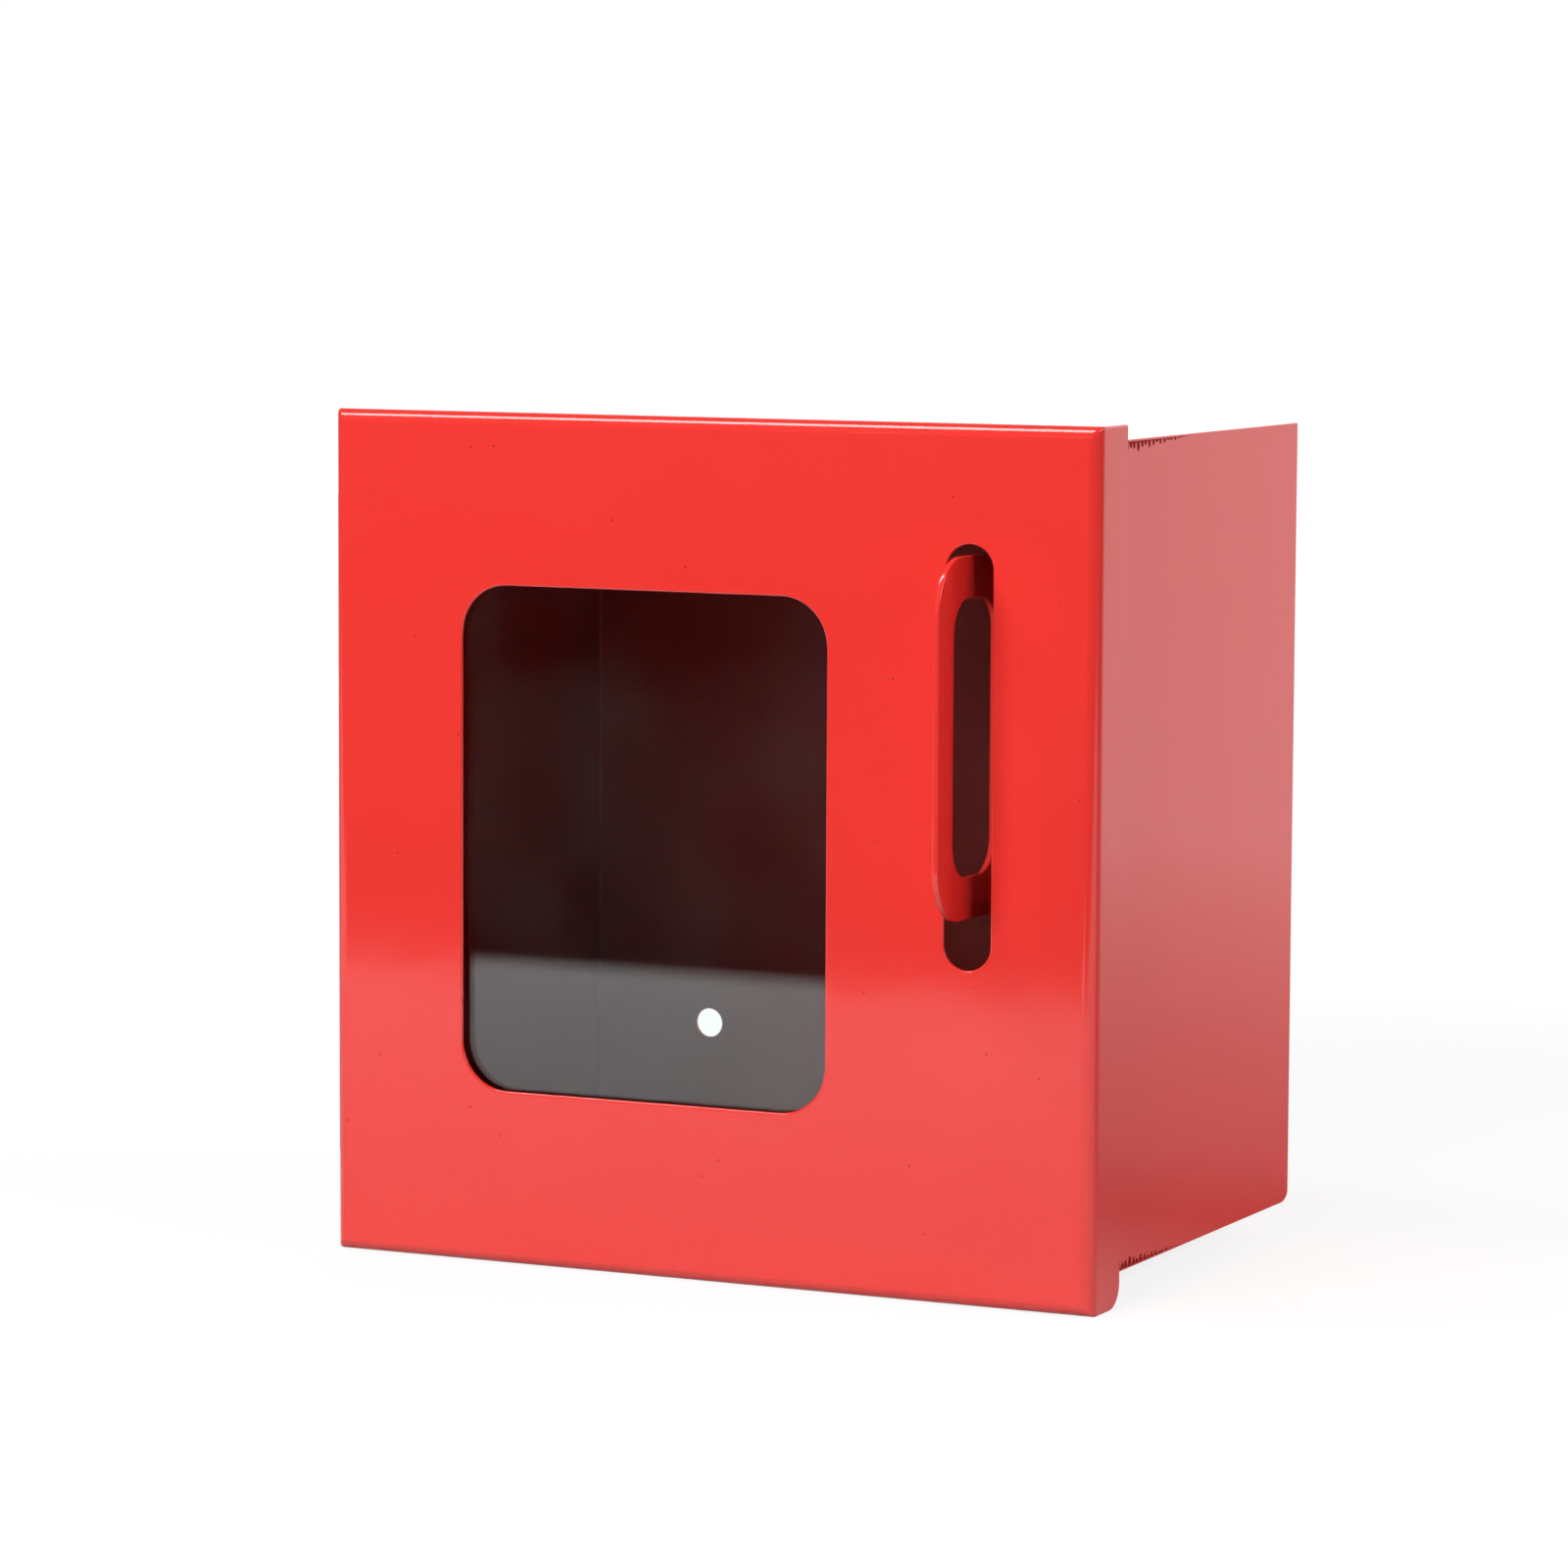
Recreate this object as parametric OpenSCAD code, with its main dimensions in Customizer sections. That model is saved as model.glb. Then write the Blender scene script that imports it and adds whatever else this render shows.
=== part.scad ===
// Break glass key box: a folded sheet steel cabinet for the wall, with a hinged
// door over it. The door has a glass window to break and an upright slot that the
// padlock staple of the cabinet comes out through.
//
// Millimetres, +Z up, front towards -Y. The origin is the centre of the four wall
// holes, on the outer face of the back wall.

/* [Cabinet] */
// Width of the cabinet
body_w = 195; // [170:1:300]
// Height of the cabinet
body_h = 194.4; // [180:0.1:320]
// Depth of the cabinet, from its front lips to the wall
body_d = 131; // [90:1:220]
// Thickness of the sheet steel
sheet = 1.2; // [0.8:0.1:2]
// Outer radius of the sharp bends of the cabinet
bend_r = 2.3; // [2.1:0.1:4]
// Outer radius of the wide bend below the back wall
back_low_r = 6; // [3:0.5:12]
// Width of the front lips
lip_w = 12; // [10:0.5:20]

/* [Wall holes] */
// Distance between the wall holes across the back
wall_hole_w = 128; // [60:1:150]
// Distance between the wall holes up the back
wall_hole_h = 126; // [60:1:150]
// Diameter of the wall holes
wall_hole_d = 7.5; // [4:0.5:10]

/* [Door] */
// Gap between the side flanges and the cabinet
door_gap_side = 1.3; // [1.2:0.1:3]
// Gap between the top flange and the cabinet
door_gap_top = 2.6; // [1.2:0.1:5]
// Gap between the bottom flange and the cabinet
door_gap_low = 5.9; // [1.5:0.1:8]
// Gap between the front lips and the door sheet
door_gap_front = 2.8; // [1.5:0.1:5]
// Depth of the door over its flanges
door_d = 17.4; // [12:0.1:30]
// Outer radius of the bends of the door
door_bend_r = 3.5; // [2.1:0.1:4]
// Radius of the lower rear corner of the flanges
flange_corner_r = 6; // [2:0.5:10]

/* [Window] */
// Distance from the left edge of the door to the window
window_left = 35.4; // [33:0.1:45]
// Distance from the right edge of the door to the window
window_right = 68.2; // [65:0.1:80]
// Distance from the bottom edge of the door to the window
window_low = 42.2; // [36:0.1:50]
// Distance from the top edge of the door to the window
window_top = 41.3; // [38:0.1:55]
// Corner radius of the window
window_r = 11.8; // [3:0.1:20]

/* [Glass] */
// Thickness of the glass pane
pane_t = 2; // [1:0.5:4]
// Width of glass hidden behind the sheet on each side
pane_lap = 8; // [6:0.5:10]
// Thickness of the gasket
gasket_t = 1; // [0.5:0.1:2]
// Distance that the gasket stays back from the window's edge
gasket_back = 2; // [0.5:0.5:4]
// Gap between the glass and the parts behind it
pane_gap = 0.3; // [0.2:0.1:1]
// Gap between the glass and its side guides
pane_side_gap = 0.3; // [0.2:0.1:1]
// Thickness of the ledge and the guides
guide_t = 1; // [0.8:0.1:1.5]
// Width of the welded foot of the ledge and the guides
guide_foot = 8; // [5:0.5:9]
// Height that the ledge laps over the glass
ledge_lap = 5; // [3:0.5:6]
// Distance from the top of the glass down to the top of the guides
guide_top_gap = 12; // [6:1:40]

/* [Turn clips] */
// Distance from the side of the glass to the pivot of each clip
clip_inset = 22.2; // [12:0.1:35]
// Width of the clips
clip_w = 11; // [9:0.5:14]
// Distance from the pivot to the middle of the clip's round tip
clip_len = 7.5; // [5:0.5:8]
// Thickness of the clips
clip_t = 1.2; // [0.8:0.1:1.6]
// Gap between the glass and a clip turned sideways
clip_clear = 1.5; // [0.5:0.1:3]
// Height of the bent finger tab
clip_tab_h = 4; // [2:0.5:6]
// Width of the finger tab
clip_tab_w = 6; // [4:0.5:7]
// Diameter of the clip studs
stud_d = 4; // [3:0.5:5]
// Diameter of the shoulder of the studs
stud_shoulder_d = 8; // [6:0.5:9]
// Thickness of the washers
washer_t = 0.8; // [0.5:0.1:1.5]
// Diameter of the washers
washer_d = 9; // [7:0.5:10]
// Thickness of the nuts
nut_t = 3.2; // [2:0.1:5]
// Width of the nuts across their flats
nut_af = 7; // [6:0.5:9]
// Length of stud that shows past the nut
stud_past = 1; // [0.5:0.5:3]

/* [Padlock slot and staple] */
// Width of the slot
slot_w = 11.8; // [9:0.1:14]
// Distance from the right edge of the door to the slot
slot_right = 26.2; // [22:0.1:27]
// Distance from the bottom edge of the door to the slot
slot_low = 78.9; // [60:0.1:85]
// Distance from the top edge of the door to the slot
slot_top = 27.7; // [20:0.1:40]
// Gap between the bottom of the slot and the staple
staple_low = 12.1; // [4:0.1:14]
// Gap between the top of the slot and the staple
staple_top = 2.4; // [2:0.1:14]
// Distance that the staple stands out in front of the door
staple_out = 18.5; // [12:0.5:20]
// Thickness of the staple plate
staple_t = 1.5; // [1:0.1:3]
// Distance from the middle of the slot to the middle of the staple plate
staple_shift = 0; // [-1:0.1:1]
// Width of the front bar of the staple
staple_bar = 8.8; // [5:0.1:9]
// Width of the bars above and below the eye
staple_end_bar = 10; // [6:0.1:14]
// Outer corner radius of the staple
staple_r = 13; // [9:0.5:16]
// Corner radius of the eye
eye_r = 8; // [3:0.5:10]
// Distance that the eye goes on behind the face of the door
eye_in = 14; // [10:0.5:20]
// Distance from the face of the door to the web of the staple
web_in = 28; // [24:0.5:40]
// Length of the foot on the side wall
foot_len = 16; // [10:0.5:30]

/* [Hinge] */
// Length of the hinge
hinge_len = 161; // [100:1:175]
// Number of knuckles
hinge_knuckles = 7; // [3:2:11]
// Radius of the hinge pin
pin_r = 1.5; // [1:0.1:2]
// Running clearance around the pin
pin_fit = 0.05; // [0.02:0.01:0.1]
// Distance that the heads of the pin stand out past its side
pin_head_lap = 0.7; // [0.3:0.1:0.8]
// Height of the heads of the pin
pin_head_h = 0.9; // [0.5:0.1:2]
// Outer radius of the knuckles
barrel_r = 2.8; // [2.6:0.1:3.5]
// Gap between the knuckles and the sheet that they pass
barrel_gap = 0.4; // [0.3:0.1:1]
// Gap between the barrel and the side of the cabinet
barrel_wall_gap = 0.3; // [0.3:0.1:0.6]
// Gap between one knuckle and the next
knuckle_gap = 0.4; // [0.2:0.1:1]
// Thickness of the hinge leaves
leaf_t = 1.2; // [1:0.1:1.5]
// Width of the leaf on the cabinet
cabinet_leaf_w = 15; // [12:0.5:25]
// Width of the leaf on the door
door_leaf_w = 13; // [9:0.5:14]

/* [Rivets] */
// Radius of the rivet shanks
rivet_r = 1.5; // [1:0.1:2]
// Radius of the rivet heads
rivet_head_r = 3; // [2.5:0.1:3.5]
// Height of the rivet heads
rivet_head_h = 1.1; // [0.8:0.1:1.4]
// Clearance around the rivets
rivet_fit = 0.05; // [0.02:0.01:0.1]
// Number of rivets in each hinge leaf
leaf_rivets = 4; // [2:1:6]
// Distance from the end of the hinge to its first rivet
leaf_rivet_end = 12; // [8:0.5:30]
// Height of the closed heads inside the cabinet
tail_h = 1.4; // [0.8:0.1:2]
// Height of the closed heads inside the door
door_tail_h = 0.8; // [0.4:0.1:0.9]
// Radius of the closed heads
tail_r = 2.4; // [2.1:0.1:3]

/* [Key hooks] */
// Number of hooks
hook_count = 3; // [1:1:4]
// Distance between the hooks
hook_pitch = 24; // [14:1:30]
// Length of the raised middle of the rail beyond the end hooks
rail_end = 8; // [6:1:14]
// Length of the flat feet of the rail
rail_foot = 16; // [10:1:20]
// Length of the slope between the rail's feet and its middle
rail_slope = 4; // [2:0.5:6]
// Height of the rail
rail_h = 16; // [10:1:24]
// Distance that the middle of the rail stands off the wall
rail_rise = 4; // [3:0.5:8]
// Distance from the top of the cabinet to the middle of the rail
rail_drop = 24.6; // [18:0.1:60]
// Distance from the middle of the rail down to the hooks
hook_drop = 2; // [0:0.5:4]
// Radius of the hook wire
wire_r = 1.5; // [1:0.1:2]
// Length of the straight part of the hooks
hook_reach = 10; // [6:0.5:20]
// Radius of the bend of the hooks
hook_bend_r = 4.5; // [3:0.5:7]
// Height of the straight tip of the hooks
hook_tip = 5; // [2:0.5:8]
// Radius of the closed head behind the rail
hook_head_r = 2.6; // [2.2:0.1:3]
// Height of the closed head behind the rail
hook_head_h = 1.2; // [0.6:0.1:2]

/* [Bumpers and welds] */
// Diameter of the rubber bumpers
bumper_d = 7; // [5:0.5:8]
// Gap between the bumpers and the door sheet
bumper_gap = 0.3; // [0.1:0.1:1]
// Distance from the ends of the right lip to the bumpers
bumper_end = 20; // [14:1:60]
// Radius of the weld beads in the cabinet
weld_r = 2.5; // [1:0.1:4]
// Number of weld beads in each corner of the cabinet
weld_count = 3; // [2:1:5]
// Length of each weld bead
weld_len = 18; // [8:1:20]
// Distance from the bends of the cabinet to its weld beads
weld_end = 1; // [0.5:0.5:5]
// Radius of the weld beads in the door
door_weld_r = 1; // [0.6:0.1:1.1]
// Distance from the rear edge of the top flange to the weld beads in the door
door_weld_end = 2; // [1:0.5:4]

/* [Hidden] */
$fn = 64;
// How far a cutter goes past the face that it cuts
cut = 1;

RED = "#e8302c";
ZINC = "#b9bcc0";
RUBBER = "#242426";
GLASS = [0.72, 0.80, 0.78, 0.35];

// Cabinet: right wall, top and front of the lips
wall_x = body_w / 2;
wall_z = body_h / 2;
lip_y = -body_d;

// Door: outer right side, top, bottom, front face, inner face and rear edge
door_x = wall_x + door_gap_side + sheet;
door_top = wall_z + door_gap_top + sheet;
door_low = -wall_z - door_gap_low - sheet;
door_y = lip_y - door_gap_front - sheet;
door_in_y = door_y + sheet;
door_rear_y = door_y + door_d;

// Window edges
win_x0 = -door_x + window_left;
win_x1 = door_x - window_right;
win_z0 = door_low + window_low;
win_z1 = door_top - window_top;

// Glass edges and faces
pane_x0 = win_x0 - pane_lap;
pane_x1 = win_x1 + pane_lap;
pane_z0 = win_z0 - pane_lap;
pane_z1 = win_z1 + pane_lap;
pane_y = door_in_y + gasket_t;
pane_back_y = pane_y + pane_t;
hold_y = pane_back_y + pane_gap;
guide_top_z = pane_z1 - guide_top_gap;

// Turn clips: pivots, and the layers stacked on the studs
clip_z = pane_z1 + clip_clear + clip_w / 2;
clip_x = [pane_x0 + clip_inset, pane_x1 - clip_inset];
layer_gap = 0.05;
washer_y = hold_y + clip_t + layer_gap;
nut_y = washer_y + washer_t;
stud_end_y = nut_y + nut_t + stud_past;

// Slot and staple
slot_x = door_x - slot_right - slot_w / 2;
slot_z0 = door_low + slot_low;
slot_z1 = door_top - slot_top;
staple_x = slot_x + staple_shift - staple_t / 2;
staple_z0 = slot_z0 + staple_low;
staple_z1 = slot_z1 - staple_top;
staple_h = staple_z1 - staple_z0;
staple_y = door_y - staple_out;
eye_y = staple_y + staple_bar;
web_y = door_y + web_in;
inner_x = wall_x - sheet;

// Hinge axis and leaves
hinge_x = -wall_x - barrel_wall_gap - barrel_r;
hinge_y = door_rear_y + barrel_gap + barrel_r;
cabinet_leaf_y = hinge_y + barrel_r + barrel_gap;
door_leaf_y = door_rear_y - door_leaf_w;
knuckle_pitch = hinge_len / hinge_knuckles;
rivet_z = [
    for (i = [0 : leaf_rivets - 1])
        -hinge_len / 2 + leaf_rivet_end
            + i * (hinge_len - 2 * leaf_rivet_end) / (leaf_rivets - 1)
];

// Key rail
back_y = -sheet;
rail_t = sheet;
rail_z = wall_z - rail_drop;
rail_mid_x = (hook_count - 1) * hook_pitch / 2 + rail_end;
rail_x = rail_mid_x + rail_slope + rail_foot;
rail_face_y = back_y - rail_rise - rail_t;
hook_z = rail_z - hook_drop;
hook_x = [for (i = [0 : hook_count - 1]) (i - (hook_count - 1) / 2) * hook_pitch];

// Stretch along Y that the weld beads share
weld_y0 = lip_y + bend_r + weld_end;
weld_y1 = -max(bend_r, back_low_r) - weld_end;

// A rectangle from lo to hi whose corners have the radii r, counted from the lower
// left corner, anticlockwise. A radius of 0 leaves a sharp corner.
module rounded_rect(lo, hi, r) {
    difference() {
        translate(lo) square(hi - lo);
        corner_bit(lo, [1, 1], r[0]);
        corner_bit([hi[0], lo[1]], [-1, 1], r[1]);
        corner_bit(hi, [-1, -1], r[2]);
        corner_bit([lo[0], hi[1]], [1, -1], r[3]);
    }
}

// What a corner loses when it is rounded; way points into the rectangle
module corner_bit(at, way, r) {
    if (r > 0)
        translate(at) mirror([way[0] < 0 ? 1 : 0, 0]) mirror([0, way[1] < 0 ? 1 : 0])
            difference() {
                translate([-cut, -cut]) square(r + cut);
                translate([r, r]) circle(r);
            }
}

// An outline drawn in X and Z, made solid from y0 to y1
module slab_y(y0, y1) {
    translate([0, y1, 0]) rotate([90, 0, 0]) linear_extrude(y1 - y0) children();
}

// An outline drawn in Y and Z, made solid from x0 to x1
module slab_x(x0, x1) {
    translate([x0, 0, 0]) rotate([90, 0, 90]) linear_extrude(x1 - x0) children();
}

// An outline drawn in X and Y, made solid from z0 to z1
module slab_z(z0, z1) {
    translate([0, 0, z0]) linear_extrude(z1 - z0) children();
}

// A box between two corners, rounded where bent sheet would be: plan_r are the
// corner radii seen from above, side_r those seen from the side
module folded_block(lo, hi, plan_r, side_r) {
    intersection() {
        slab_z(lo[2], hi[2]) rounded_rect([lo[0], lo[1]], [hi[0], hi[1]], plan_r);
        slab_x(lo[0], hi[0]) rounded_rect([lo[1], lo[2]], [hi[1], hi[2]], side_r);
    }
}

// A straight round bar along Y, X or Z
module bar_y(x, z, r, y0, y1) {
    translate([x, y1, z]) rotate([90, 0, 0]) cylinder(r = r, h = y1 - y0);
}
module bar_x(y, z, r, x0, x1) {
    translate([x0, y, z]) rotate([0, 90, 0]) cylinder(r = r, h = x1 - x0);
}
module bar_z(x, y, r, z0, z1) {
    translate([x, y, z0]) cylinder(r = r, h = z1 - z0);
}

// A rivet along Z with its domed head above z = 0, a grip below, and a closed head
module rivet(grip, closed_r, closed_h) {
    dome_r = (rivet_head_r * rivet_head_r + rivet_head_h * rivet_head_h) / (2 * rivet_head_h);
    intersection() {
        translate([0, 0, rivet_head_h - dome_r]) sphere(r = dome_r);
        cylinder(r = rivet_head_r, h = rivet_head_h + cut);
    }
    translate([0, 0, -grip]) cylinder(r = rivet_r, h = grip + rivet_head_h / 2);
    if (closed_h > 0)
        translate([0, 0, -grip - closed_h]) cylinder(r = closed_r, h = closed_h);
}

module cabinet_shell() {
    outer_r = bend_r;
    inner_r = bend_r - sheet;
    color(RED) difference() {
        folded_block([-wall_x, lip_y, -wall_z], [wall_x, 0, wall_z],
            [outer_r, outer_r, outer_r, outer_r], [outer_r, back_low_r, outer_r, outer_r]);
        folded_block([-inner_x, lip_y + sheet, -wall_z + sheet],
            [inner_x, back_y, wall_z - sheet],
            [inner_r, inner_r, inner_r, inner_r],
            [inner_r, back_low_r - sheet, inner_r, inner_r]);
        translate([-wall_x + lip_w, lip_y - cut, -wall_z + lip_w])
            cube([body_w - 2 * lip_w, sheet + 2 * cut, body_h - 2 * lip_w]);
        for (x = [-1, 1], z = [-1, 1])
            bar_y(x * wall_hole_w / 2, z * wall_hole_h / 2, wall_hole_d / 2, back_y - cut, cut);
        cabinet_leaf_holes();
        rail_rivet_holes();
    }
}

module cabinet_leaf_holes() {
    for (z = rivet_z)
        bar_x(cabinet_leaf_y + cabinet_leaf_w / 2, z, rivet_r + rivet_fit,
            -wall_x - leaf_t - cut, -inner_x + cut);
}

module rail_rivet_holes() {
    for (x = [-1, 1])
        bar_y(x * (rail_x - rail_foot / 2), rail_z, rivet_r + rivet_fit,
            back_y - rail_t - cut, cut);
}

// Short beads in the four corners, each a quarter of a round bar
module cabinet_corner_welds() {
    step = (weld_y1 - weld_y0 - weld_len) / (weld_count - 1);
    color(RED) for (x = [-1, 1], z = [-1, 1], i = [0 : weld_count - 1])
        weld_bead(x * inner_x, z * (wall_z - sheet), weld_r,
            weld_y0 + i * step, weld_y0 + i * step + weld_len);
}

module weld_bead(x, z, r, y0, y1) {
    intersection() {
        bar_y(x, z, r, y0, y1);
        translate([x > 0 ? x - 2 * r : x, y0 - cut, z > 0 ? z - 2 * r : z])
            cube([2 * r, y1 - y0 + 2 * cut, 2 * r]);
    }
}

// The eye plate stands square to the door. The web turns right behind it, and the
// foot lies on the right wall.
module padlock_staple() {
    color(RED) {
        slab_x(staple_x, staple_x + staple_t) difference() {
            rounded_rect([staple_y, staple_z0], [web_y + staple_t, staple_z1],
                [staple_r, 0, 0, staple_r]);
            rounded_rect([eye_y, staple_z0 + staple_end_bar],
                [door_y + eye_in, staple_z1 - staple_end_bar], [eye_r, eye_r, eye_r, eye_r]);
        }
        translate([staple_x, web_y, staple_z0])
            cube([inner_x - staple_x, staple_t, staple_h]);
        translate([inner_x - staple_t, web_y, staple_z0])
            cube([staple_t, foot_len, staple_h]);
    }
}

// The knuckles of one leaf: every second one from first, joined to the leaf by necks
module knuckles(first, neck_x, neck_y) {
    for (i = [first : 2 : hinge_knuckles - 1]) {
        z0 = -hinge_len / 2 + i * knuckle_pitch + knuckle_gap / 2;
        z1 = z0 + knuckle_pitch - knuckle_gap;
        bar_z(hinge_x, hinge_y, barrel_r, z0, z1);
        translate([neck_x, min(hinge_y, neck_y), z0])
            cube([leaf_t, abs(hinge_y - neck_y), z1 - z0]);
    }
}

module pin_hole() {
    bar_z(hinge_x, hinge_y, pin_r + pin_fit, -hinge_len / 2 - cut, hinge_len / 2 + cut);
}

module hinge_cabinet_leaf() {
    color(RED) difference() {
        union() {
            knuckles(0, -wall_x - leaf_t, cabinet_leaf_y);
            translate([-wall_x - leaf_t, cabinet_leaf_y, -hinge_len / 2 + knuckle_gap / 2])
                cube([leaf_t, cabinet_leaf_w, hinge_len - knuckle_gap]);
        }
        pin_hole();
        cabinet_leaf_holes();
    }
}

module hinge_door_leaf() {
    color(RED) difference() {
        union() {
            knuckles(1, -door_x - leaf_t, door_rear_y);
            translate([-door_x - leaf_t, door_leaf_y, -hinge_len / 2 + knuckle_gap / 2])
                cube([leaf_t, door_leaf_w, hinge_len - knuckle_gap]);
        }
        pin_hole();
        door_leaf_holes();
    }
}

module door_leaf_holes() {
    for (z = rivet_z)
        bar_x(door_leaf_y + door_leaf_w / 2, z, rivet_r + rivet_fit,
            -door_x - leaf_t - cut, -door_x + sheet + cut);
}

// A plain wire with a spun head at each end
module hinge_pin() {
    end_z = (hinge_len - knuckle_gap) / 2;
    head_r = pin_r + pin_head_lap;
    color(ZINC) {
        bar_z(hinge_x, hinge_y, pin_r, -end_z - pin_head_h, end_z + pin_head_h);
        bar_z(hinge_x, hinge_y, head_r, end_z, end_z + pin_head_h);
        bar_z(hinge_x, hinge_y, head_r, -end_z - pin_head_h, -end_z);
    }
}

module cabinet_leaf_rivets() {
    color(ZINC) for (z = rivet_z)
        translate([-wall_x - leaf_t, cabinet_leaf_y + cabinet_leaf_w / 2, z])
            rotate([0, -90, 0]) rivet(leaf_t + sheet, tail_r, tail_h);
}

module door_leaf_rivets() {
    color(ZINC) for (z = rivet_z)
        translate([-door_x - leaf_t, door_leaf_y + door_leaf_w / 2, z])
            rotate([0, -90, 0]) rivet(leaf_t + sheet, tail_r, door_tail_h);
}

// A strip with two flat feet on the wall and a raised middle
module hook_rail() {
    front = [
        [-rail_x, back_y - rail_t], [-rail_mid_x - rail_slope, back_y - rail_t],
        [-rail_mid_x, rail_face_y], [rail_mid_x, rail_face_y],
        [rail_mid_x + rail_slope, back_y - rail_t], [rail_x, back_y - rail_t]
    ];
    rear = [for (i = [len(front) - 1 : -1 : 0]) front[i] + [0, rail_t]];
    color(RED) difference() {
        slab_z(rail_z - rail_h / 2, rail_z + rail_h / 2) polygon(concat(front, rear));
        rail_rivet_holes();
        for (x = hook_x)
            bar_y(x, hook_z, wire_r + rivet_fit, rail_face_y - cut, back_y - rail_rise + cut);
    }
}

// The rail's rivets end flush with the outer face, so that the back lies flat
module hook_rail_rivets() {
    color(ZINC) for (x = [-1, 1])
        translate([x * (rail_x - rail_foot / 2), back_y - rail_t, rail_z])
            rotate([90, 0, 0]) rivet(rail_t + sheet, rivet_r, 0);
}

// Each hook is one wire: a closed head, a straight, a quarter bend and an upright tip
module key_hooks() {
    bend_y = rail_face_y - hook_reach;
    color(ZINC) for (x = hook_x) {
        bar_y(x, hook_z, wire_r, bend_y, back_y - rail_rise + hook_head_h);
        bar_y(x, hook_z, hook_head_r, back_y - rail_rise, back_y - rail_rise + hook_head_h);
        translate([x, bend_y, hook_z + hook_bend_r]) rotate([0, 90, 0])
            rotate([0, 0, -90]) rotate_extrude(angle = 90)
                translate([hook_bend_r, 0]) circle(wire_r);
        bar_z(x, bend_y - hook_bend_r, wire_r, hook_z + hook_bend_r,
            hook_z + hook_bend_r + hook_tip);
        translate([x, bend_y - hook_bend_r, hook_z + hook_bend_r + hook_tip])
            sphere(r = wire_r);
    }
}

module door_bumpers() {
    color(RUBBER) for (z = [-1, 1])
        bar_y(wall_x - bend_r - (lip_w - bend_r) / 2, z * (wall_z - bumper_end), bumper_d / 2,
            door_in_y + bumper_gap, lip_y);
}

module door_panel() {
    inner_r = door_bend_r - sheet;
    color(RED) difference() {
        folded_block([-door_x, door_y, door_low], [door_x, door_rear_y, door_top],
            [door_bend_r, door_bend_r, 0, 0], [door_bend_r, flange_corner_r, 0, door_bend_r]);
        folded_block([-door_x + sheet, door_in_y, door_low + sheet],
            [door_x - sheet, door_rear_y + cut, door_top - sheet],
            [inner_r, inner_r, 0, 0], [inner_r, 0, 0, inner_r]);
        slab_y(door_y - cut, door_in_y + cut)
            rounded_rect([win_x0, win_z0], [win_x1, win_z1],
                [window_r, window_r, window_r, window_r]);
        slab_y(door_y - cut, door_in_y + cut) slot_outline();
        door_leaf_holes();
    }
}

module slot_outline() {
    r = slot_w / 2;
    translate([slot_x - r, slot_z0 + r]) square([slot_w, slot_z1 - slot_z0 - slot_w]);
    translate([slot_x, slot_z0 + r]) circle(r);
    translate([slot_x, slot_z1 - r]) circle(r);
}

module door_corner_welds() {
    y0 = door_in_y + door_bend_r;
    color(RED) for (x = [-1, 1]) {
        weld_bead(x * (door_x - sheet), door_top - sheet, door_weld_r, y0,
            door_rear_y - door_weld_end);
        weld_bead(x * (door_x - sheet), door_low + sheet, door_weld_r, y0,
            door_rear_y - flange_corner_r);
    }
}

module window_pane() {
    color(GLASS) translate([pane_x0, pane_y, pane_z0])
        cube([pane_x1 - pane_x0, pane_t, pane_z1 - pane_z0]);
}

module pane_gasket() {
    r = window_r + gasket_back;
    color(RUBBER) slab_y(door_in_y, pane_y) difference() {
        translate([pane_x0, pane_z0]) square([pane_x1 - pane_x0, pane_z1 - pane_z0]);
        rounded_rect([win_x0 - gasket_back, win_z0 - gasket_back],
            [win_x1 + gasket_back, win_z1 + gasket_back], [r, r, r, r]);
    }
}

// Seen from the side: a foot on the door, a step under the glass, a lap behind it
module pane_ledge() {
    riser_z = pane_z0 - guide_t;
    color(RED) slab_x(pane_x0, pane_x1) {
        translate([door_in_y, riser_z - guide_foot]) square([guide_t, guide_foot]);
        translate([door_in_y, riser_z]) square([hold_y + guide_t - door_in_y, guide_t]);
        translate([hold_y, pane_z0]) square([guide_t, ledge_lap]);
    }
}

// An angle strip beside the glass; side is -1 for the left one and 1 for the right
module pane_guide(side) {
    edge = (side < 0 ? -pane_x0 : pane_x1) + pane_side_gap;
    color(RED) mirror([side < 0 ? 1 : 0, 0, 0]) slab_z(pane_z0, guide_top_z) {
        translate([edge, door_in_y]) square([guide_t, hold_y - door_in_y]);
        translate([edge + guide_t, door_in_y]) square([guide_foot, guide_t]);
    }
}

module pane_guide_left() {
    pane_guide(-1);
}

module pane_guide_right() {
    pane_guide(1);
}

module clip_studs() {
    color(ZINC) for (x = clip_x) {
        bar_y(x, clip_z, stud_shoulder_d / 2, door_in_y, hold_y - layer_gap);
        bar_y(x, clip_z, stud_d / 2, door_in_y, stud_end_y);
    }
}

module clip_washers() {
    color(ZINC) for (x = clip_x)
        difference() {
            bar_y(x, clip_z, washer_d / 2, washer_y, washer_y + washer_t);
            bar_y(x, clip_z, stud_d / 2 + pin_fit, washer_y - cut, washer_y + washer_t + cut);
        }
}

module clip_nuts() {
    color(ZINC) for (x = clip_x)
        difference() {
            translate([x, nut_y + nut_t, clip_z]) rotate([90, 0, 0])
                cylinder(d = nut_af / cos(30), h = nut_t, $fn = 6);
            bar_y(x, clip_z, stud_d / 2 + pin_fit, nut_y - cut, nut_y + nut_t + cut);
        }
}

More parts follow.
